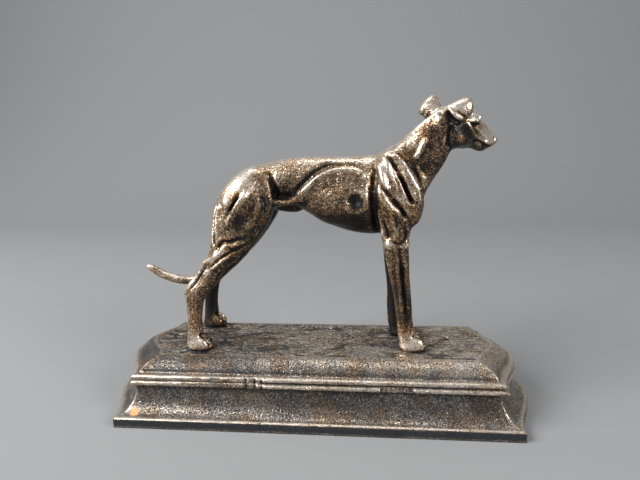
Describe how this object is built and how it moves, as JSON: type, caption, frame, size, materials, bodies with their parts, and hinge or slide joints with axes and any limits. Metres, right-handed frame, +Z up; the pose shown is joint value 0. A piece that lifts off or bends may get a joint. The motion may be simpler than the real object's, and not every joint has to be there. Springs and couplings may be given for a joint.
{
  "type": "greyhound statue",
  "caption": "Cast-iron ornament of a standing greyhound on a moulded, hollow rectangular plinth with bowed ends; stands on a shelf or desk.",
  "frame": {"origin": "centre of the plinth's underside", "axes": "+X along the plinth, the way the dog faces; +Y to the dog's left; +Z up"},
  "size_m": [0.2216, 0.079, 0.1581],
  "materials": {
    "bronzed_iron": "sand-cast, dark brown with rubbed bronze highlights",
    "worn_iron": "sand-cast, near-black with rubbed bronze edges and a little rust"
  },
  "bodies": {
    "root": {"greyhound": "bronzed_iron", "plinth": "worn_iron"}
  },
  "joints": []
}
